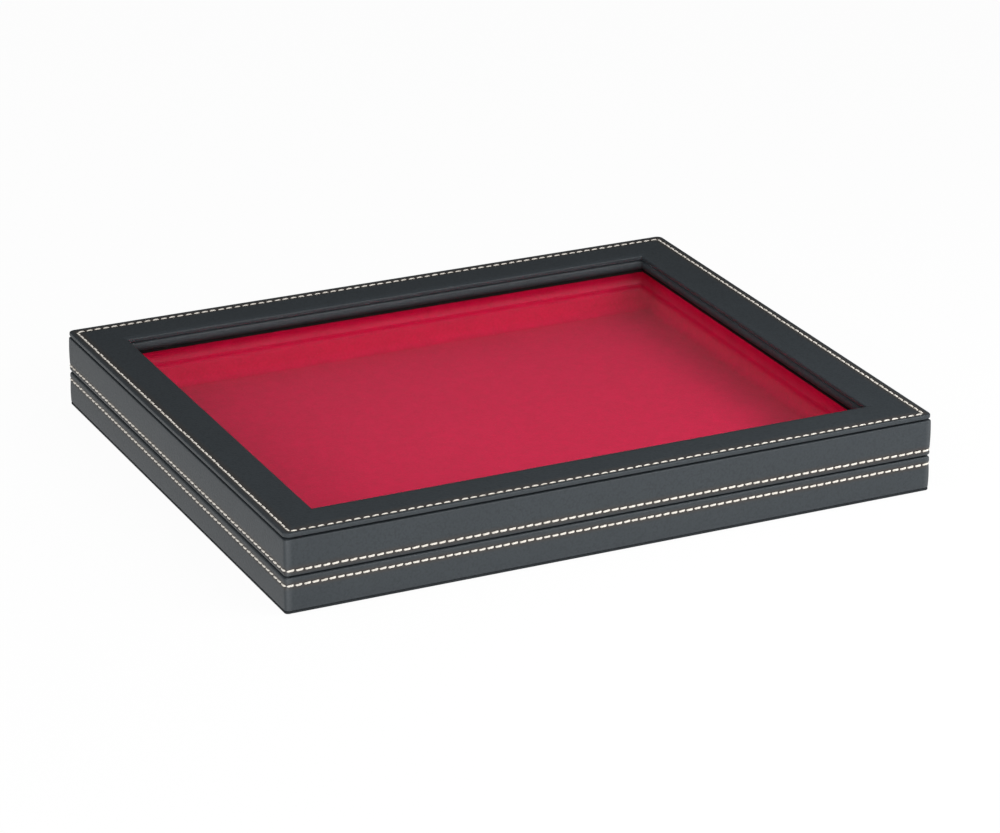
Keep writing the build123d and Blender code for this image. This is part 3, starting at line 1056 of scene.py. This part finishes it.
@dataclass
class Sole:
    """The thin leatherette-covered sheet under the base."""

    inset: float = 0.05 * MM
    lower_radius: float = 0.25 * MM
    upper_radius: float = 0.15 * MM
    corner: float = 1.5 * MM

    def build(self, finishes: Finishes) -> None:
        """Draw the sole as a closed sheet with soft edges.

        Args:
            finishes: The finishes.
        """
        low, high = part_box("base_sole")
        section = Section()
        lower, upper = self.lower_radius, self.upper_radius
        section.roll(self.inset + lower, low.z + lower, lower, -90, 0, self.corner, 3)
        section.roll(self.inset + upper, high.z - upper, upper, 0, 90, self.corner, 3)
        sheet = RingSheet("sole_leatherette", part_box("base_wrap")[1].xy, section, closed=True)
        finishes.settle(sheet.finish(), Body.BASE, Slot.LEATHERETTE, "base_sole", special=finishes.sole)


@dataclass
class TopPanel:
    """The stitched cover of the top panel, turned under all round and down into the window."""

    counts: tuple[int, int] = (74, 59)
    corner: float = 2.5 * MM
    window_corner: float = 0.35 * MM
    row_inset: float = 3.15 * MM
    row_shift: float = -0.5 * MM  # of the whole row, along Y
    row_drop: float = 0.8 * MM  # under the top, where nothing of the channel lies any more
    channel_margin: float = 0.01 * MM  # past the channel's edge, where its vertices are still looked for
    edge_radius: float = 0.6 * MM
    under_radius: float = 0.35 * MM
    window_reach: float = 1.2 * MM  # from the frame boards' edge to the window's
    window_radius: float = 0.5 * MM
    window_sag: float = 0.45 * MM  # of the cover towards the window
    sag_reach: float = 2.6 * MM
    sag_steps: int = 4
    window_hem: float = 0.6 * MM  # how far the fold hangs into the window
    fold: float = 6.0 * MM
    swell: float = 0.1 * MM
    skin: float = 0.5 * MM
    channel: Channel = Channel(depth=0.42 * MM)
    dust_drop: float = 0.5 * MM  # under the top, where the dust begins to fade
    thread_drop: float = 0.25 * MM  # from the top down to the middle of the thread

    def build(self, finishes: Finishes) -> None:
        """Draw the cover, pucker it and sew it.

        Args:
            finishes: The finishes.
        """
        low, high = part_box("top_panel_cover")
        half, top = high.xy, high.z
        border = half.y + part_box("frame_board_front")[1].y + self.window_reach
        columns = (2 * self.counts[0], 2 * self.counts[1])
        sheet = RingSheet("top_panel_leatherette", half, self.section(low.z, top, border), columns)
        sheet.face_out(UP)
        stitches = StitchRow(
            "panel_stitches", Body.LID, False, top - self.thread_drop, self.row_inset, self.counts, half,
            seed=7, end_gap=0.0, stray=5.0, wander=0.14 * MM, shift=self.row_shift,
        )
        stitches.pull_holes(sheet.piece, self.row_inset, self.channel)
        self.shift_channel(sheet.piece, half, top)

        def from_dust(co: Vector) -> float:
            """Distance of a place from the row, in plan, and from the top."""
            inset = min(half.x - abs(co.x), half.y - abs(co.y - self.row_shift))
            return abs(inset - self.row_inset) + max(0.0, top - co.z - self.dust_drop)

        paint_near(sheet.piece, "near_row", from_dust, self.channel.dusty)
        finishes.settle(sheet.finish(self.skin), Body.LID, Slot.LEATHERETTE, "top_panel_cover")
        stitches.build(finishes)

    def section(self, bottom: float, top: float, border: float) -> Section:
        """The cover's section, from its outer fold over the top to its fold under the window's edge.

        Args:
            bottom: The height of the underside.
            top: The height of the top.
            border: The inset of the window's edge.

        Returns:
            The section.
        """
        made = Section()
        under, window = self.under_radius, self.window_corner
        made.at(self.fold, bottom, window)
        made.roll(under, bottom + under, under, -90, 0, self.corner, 3)
        made.roll(self.edge_radius, top - self.edge_radius, self.edge_radius, 0, 90, self.corner, 6)
        for offset, dip in self.channel.dips():
            made.at(self.row_inset + offset, top - dip, self.corner)
        start = self.row_inset + self.channel.half_width
        inner = border - self.window_radius
        end = inner - self.sag_reach
        made.bulge((start, top), (end, top), (0, self.swell), (self.corner,) * 2 + (window,) * 3)
        for step in range(self.sag_steps):
            share = step / self.sag_steps
            made.at(end + self.sag_reach * share, top - self.window_sag * share**2, window)
        edge = top - self.window_sag - self.window_radius
        made.roll(inner, edge, self.window_radius, 105, 180, window, 5)
        hem = bottom - self.window_hem
        made.at(border, hem + under, window)
        made.at(border - under, hem, window)
        made.at(border - self.fold, bottom, window)
        return made

    def shift_channel(self, cover: Piece, half: Vector, top: float) -> None:
        """Move the channel along with its row of stitches.

        Args:
            cover: The cover.
            half: Half the length and half the width of the box.
            top: The height of the top.
        """
        reach = self.channel.half_width + self.channel_margin

        def in_channel(vertex: bmesh.types.BMVert) -> bool:
            """Whether the vertex belongs to the channel."""
            inset = min(half.x - abs(vertex.co.x), half.y - abs(vertex.co.y))
            return abs(inset - self.row_inset) < reach and vertex.co.z > top - self.row_drop

        with editing(cover):
            select(cover, "verts", in_channel)
            bpy.ops.transform.translate(value=(0, self.row_shift, 0))


@dataclass
class WindowLiner:
    """The padded leatherette lining of the window, under the top panel."""

    thickness: float = 0.6 * MM
    skin: float = 0.5 * MM
    sink: float = 0.35 * MM  # of its top under the CAD's
    roll_radius: float = 1.3 * MM
    hem: float = 0.3 * MM
    painted_shade_height: float = 2.4 * MM  # the height over the hem where the painted shade ends
    corner: float = 0.6 * MM
    swell: float = 0.12 * MM

    def build(self, finishes: Finishes) -> None:
        """Draw the liner over the frame boards and down their faces.

        Args:
            finishes: The finishes.
        """
        low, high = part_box("window_liner")
        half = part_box("lid_wrap")[1].xy
        face = half.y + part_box("frame_board_front")[1].y + self.thickness
        outer, top = half.x - high.x, high.z - self.sink
        radius, corner = self.roll_radius, self.corner
        section = Section()
        section.at(outer, top, corner)
        section.at((outer + face) / 2, top, corner)
        section.roll(face - radius, top - radius, radius, 90, 180, corner, 6)
        lower = low.z + 2 * self.hem
        section.bulge((face, top - radius), (face, lower), (self.swell, 0), (corner,) * 4)
        section.at(face, lower, corner)
        section.at(face - self.hem / 2, low.z + self.hem, corner)
        sheet = RingSheet("window_lining", half, section)
        sheet.face_out(UP)
        # Paint shade on the liner, darkest at its hem and fading out upwards.
        paint_near(sheet.piece, "hem_painted_shade", lambda co: co.z - low.z - self.hem, self.painted_shade_height)
        finishes.settle(sheet.finish(self.skin), Body.LID, Slot.LEATHERETTE, "window_liner")


@dataclass
class Tray:
    """The flocked tray: a drafted well with a rolled rim and a cove round its floor."""

    wall: float = 1.2 * MM
    draft: float = 1.8 * MM
    floor: float = 1.0 * MM
    rim_radius: float = 0.4 * MM
    cove: float = 4.0 * MM
    cove_steps: int = 8
    outer_corner: float = 7.5 * MM
    rim_corner: float = 6.3 * MM
    floor_corner: float = 4.5 * MM
    least_corner: float = 0.5 * MM
    sharp: float = 60.0  # degrees

    def build(self, finishes: Finishes) -> None:
        """Draw the tray from its underside up over the rim and down to its floor.

        Args:
            finishes: The finishes.
        """
        low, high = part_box("insert_tray")
        section = Section()
        radius, outer = self.rim_radius, self.outer_corner
        section.at(radius, low.z, outer)
        section.at(0, low.z + radius, outer)
        section.roll(radius, high.z - radius, radius, 0, 90, outer, 4)
        section.roll(self.wall - radius, high.z - radius, radius, 90, 180, self.rim_corner, 4)
        bottom = low.z + self.floor
        foot = self.wall + self.draft
        for step in range(self.cove_steps + 1):
            angle = math.radians(90 * step / self.cove_steps)
            reach = self.cove * (1 - math.cos(angle))
            corner = max(self.least_corner, self.floor_corner - reach)
            section.at(foot + reach, bottom + self.cove * (1 - math.sin(angle)), corner)
        sheet = RingSheet("flocked_tray", high.xy, section, closed=True)
        finishes.settle(sheet.finish(degrees=self.sharp), Body.INSERT, Slot.FLOCK, "insert_tray")


@dataclass
class CarriedOver:
    """The CAD nodes whose shape is already right, by the starts of their names, and the slot of each."""

    starts_by_slot: tuple[tuple[Slot, tuple[str, ...]], ...] = (
        (Slot.FIBREBOARD, ("base_board", "base_rail", "lid_rail")),
        (Slot.VELOUR, ("base_lining", "lid_lining", "pane_strip")),
        (Slot.BLACK_BOARD, ("frame_board", "panel_riser")),
        (Slot.GREYBOARD, ("top_panel",)),
        (Slot.GLASS, ("window_pane",)),
        (Slot.NICKEL, ("base_hinge_leaf", "lid_hinge_leaf", "hinge_pin")),
        (Slot.SCREW, ("base_hinge_screws", "lid_hinge_screws")),
        (Slot.MAGNET, ("base_magnets", "lid_strike_plates")),
    )

    def build(self, finishes: Finishes) -> None:
        """Dress every CAD node that no new piece stands for.

        Args:
            finishes: The finishes.
        """
        for slot, starts in self.starts_by_slot:
            for name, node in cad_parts.items():
                if name.startswith(starts) and not node.hide_render:
                    finishes.dress(node, slot)
                    log.info("%s keeps its CAD shape", name)


# ---------------------------------------------------------------- studio
class RayTests(Graph):
    """Tests on the way a ray has come, in the tree of a lamp, the floor or the room, each 0 or 1."""

    def __init__(self, tree: bpy.types.NodeTree) -> None:
        """Take up a node tree and the path of its rays."""
        super().__init__(tree)
        self.path = self.add("LightPath").outputs

    def one_of(self, first: str, *others: str) -> Socket:
        """Whether the ray is of one of some kinds.

        Args:
            first: A kind, such as Camera.
            *others: The other kinds.

        Returns:
            The test.
        """
        passed = self.path[f"Is {first} Ray"]
        for kind in others:
            passed = self.maths("MAXIMUM", passed, self.path[f"Is {kind} Ray"])
        return passed

    def bounced(self, way: str, ever: bool = True) -> Socket:
        """Whether the ray has ever, or has never, bounced in a way, such as Diffuse."""
        return self.maths("GREATER_THAN" if ever else "LESS_THAN", self.path[f"{way} Depth"], 0.5)

    def both(self, first: Socket, second: Socket) -> Socket:
        """Whether two tests are both passed."""
        return self.maths("MULTIPLY", first, second)

    def straight(self) -> Socket:
        """Whether the ray looks out straight, or straight through a pane."""
        unmirrored = self.both(self.one_of("Camera", "Transmission"), self.bounced("Glossy", False))
        return self.both(unmirrored, self.bounced("Diffuse", False))

    def mirrored(self) -> Socket:
        """Whether the ray has met a mirroring face, and no matt one, on its way."""
        return self.both(self.bounced("Glossy"), self.bounced("Diffuse", False))


@dataclass(frozen=True)
class Lamp:
    """A soft square lamp, aimed at the case."""

    name: str
    place: Triple
    size: float
    power: float

    def build(self, beside: bpy.types.Collection, through: bpy.types.Collection) -> None:
        """Hang the lamp, and its twin that only shines on down through the pane and never mirrors in it.

        Args:
            beside: Leaves the pane out of what the lamp lights.
            through: Holds the pane alone.
        """
        self.hang(self.name, beside)
        twin = self.hang(self.name + "_through", through)
        twin.visible_glossy = False
        twin.data.use_nodes = True
        tests = RayTests(twin.data.node_tree)
        tests.wire(tests.nodes["Emission"], Strength=tests.bounced("Diffuse"))

    def hang(self, name: str, lit: bpy.types.Collection) -> Piece:
        """Hang one light and aim it at the middle of the case.

        Args:
            name: The light's name.
            lit: What the light shines on.

        Returns:
            The light.
        """
        deselect()
        bpy.ops.object.light_add(type="AREA", location=self.place)
        light = bpy.context.object
        light.name = name
        light.data.size = self.size
        light.data.energy = self.power
        light.rotation_euler = (-Vector(self.place)).to_track_quat("-Z", "Y").to_euler()
        light.light_linking.receiver_collection = lit
        return light


@dataclass(frozen=True)
class Studio:
    """A white sweep of floor under soft lamps, in a dim room."""

    floor_size: float = 14.0
    floor_drop: float = 0.2 * MM
    floor_colour: Colour = (0.86, 0.86, 0.86)
    floor_roughness: float = 0.9
    floor_glow: float = 0.95
    fill: float = 0.5  # the room's light on matt faces
    room: float = 0.06  # the room as it is mirrored
    backdrop: float = 1.0  # the room as it is looked at
    lamps: tuple[Lamp, ...] = (
        Lamp("left_softbox", (-1.5, -0.1, 0.8), 0.8, 7.5),
        Lamp("front_softbox", (-0.1, -2.4, 0.8), 1.2, 18.0),
        Lamp("right_near_softbox", (0.27, -0.33, 0.36), 0.25, 1.2),
        Lamp("front_near_softbox", (0.05, -0.42, 0.34), 0.2, 0.55),
        Lamp("side_softbox", (-0.42, -0.5, 0.08), 0.12, 0.55),
    )

    def build(self) -> None:
        """Make the floor, the lamps and the room's light."""
        self.lay_floor()
        beside, through = self.link_pane("beside_pane", "EXCLUDE"), self.link_pane("through_pane", "INCLUDE")
        for lamp in self.lamps:
            lamp.build(beside, through)
        self.light_room()

    def link_pane(self, name: str, state: str) -> bpy.types.Collection:
        """List the pane for the lamps.

        Args:
            name: The list's name.
            state: INCLUDE for the pane alone, EXCLUDE for all but the pane.

        Returns:
            The list.
        """
        listed = bpy.data.collections.new(name)
        listed.objects.link(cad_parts["window_pane"])
        for entry in listed.collection_objects:
            entry.light_linking.link_state = state
        return listed

    def lay_floor(self) -> None:
        """Lay a white floor that keeps a faint shadow."""
        deselect()
        bpy.ops.mesh.primitive_plane_add(size=self.floor_size, location=(0, 0, -self.floor_drop))
        floor = bpy.context.object
        floor.name = "studio_floor"
        made = bpy.data.materials.new("studio_floor")
        made.use_nodes = True
        tests = RayTests(made.node_tree)
        paint = tests.wire(
            tests.nodes["Principled BSDF"], Base_Color=self.floor_colour, Roughness=self.floor_roughness
        )
        seen = tests.one_of("Camera", "Glossy", "Transmission")
        glow = tests.maths("MULTIPLY", seen, self.floor_glow)
        tests.show("Material Output", tests.mix(glow, paint[0], tests.fill("Emission")))
        floor.data.materials.append(made)
        floor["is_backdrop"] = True

    def light_room(self) -> None:
        """Fill the room with soft light: white where it is looked at, dim where it is only mirrored."""
        world = bpy.data.worlds.new("studio_room")
        bpy.context.scene.world = world
        world.use_nodes = True
        tests = RayTests(world.node_tree)
        shown = tests.wire(tests.nodes["Background"], Color=WHITE, Strength=self.fill)[0]
        for test, strength in ((tests.mirrored(), self.room), (tests.straight(), self.backdrop)):
            shown = tests.mix(test, shown, tests.fill("Background", WHITE, strength))
        tests.show("World Output", shown)


@dataclass(frozen=True)
class Viewpoint:
    """Where the camera stands and how it is turned."""

    place: Triple = (-0.7220, -1.5028, 0.6950)
    azimuth: float = -25.831  # degrees, from looking along +Y
    elevation: float = 22.227
    roll: float = 0.315
    lens: float = 146.01
    sensor: float = 36.0
    shift: tuple[float, float] = (-0.0005, 0.0005)  # half a pixel each way

    def build(self) -> None:
        """Set up the camera."""
        deselect()
        bpy.ops.object.camera_add(location=self.place)
        camera = bpy.context.object
        camera.data.lens = self.lens
        camera.data.sensor_width = self.sensor
        camera.data.shift_x, camera.data.shift_y = self.shift
        camera.rotation_euler = self.turn().to_euler()
        bpy.context.scene.camera = camera

    def turn(self) -> Matrix:
        """The camera's rotation, as a matrix."""
        azimuth, elevation = math.radians(self.azimuth), math.radians(self.elevation)
        flat = math.cos(elevation)
        back = Vector((math.sin(azimuth) * flat, -math.cos(azimuth) * flat, math.sin(elevation)))
        level = back.to_track_quat("Z", "Y").to_matrix()
        return level @ Matrix.Rotation(math.radians(self.roll), 3, "Z")


def write_sizes() -> None:
    """Work out the CAD box and the visual model's box as plain lists, which are not kept."""
    boxes = {"cad": CAD_BOX, "visual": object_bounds()}
    {name: [list(corner) for corner in box] for name, box in boxes.items()}


def main() -> None:
    """Build the case, then the studio and the camera."""
    logging.basicConfig(level=logging.INFO, format="%(name)s: %(message)s")
    bpy.context.scene.view_settings.view_transform = "Standard"
    finishes = Finishes()
    assemblies = (
        Sole(),
        Band(Body.BASE, 3.65 * MM, (81, 62), seed=3, lip_setback=0.3 * MM),
        Band(Body.LID, 2.72 * MM, (76, 61), seed=5, seam_setback=0.3 * MM),
        TopPanel(),
        WindowLiner(),
        Tray(),
        CarriedOver(),
    )
    for assembly in assemblies:
        assembly.build(finishes)
    Studio().build()
    Viewpoint().build()
    write_sizes()


if __name__ == "__main__":
    main()
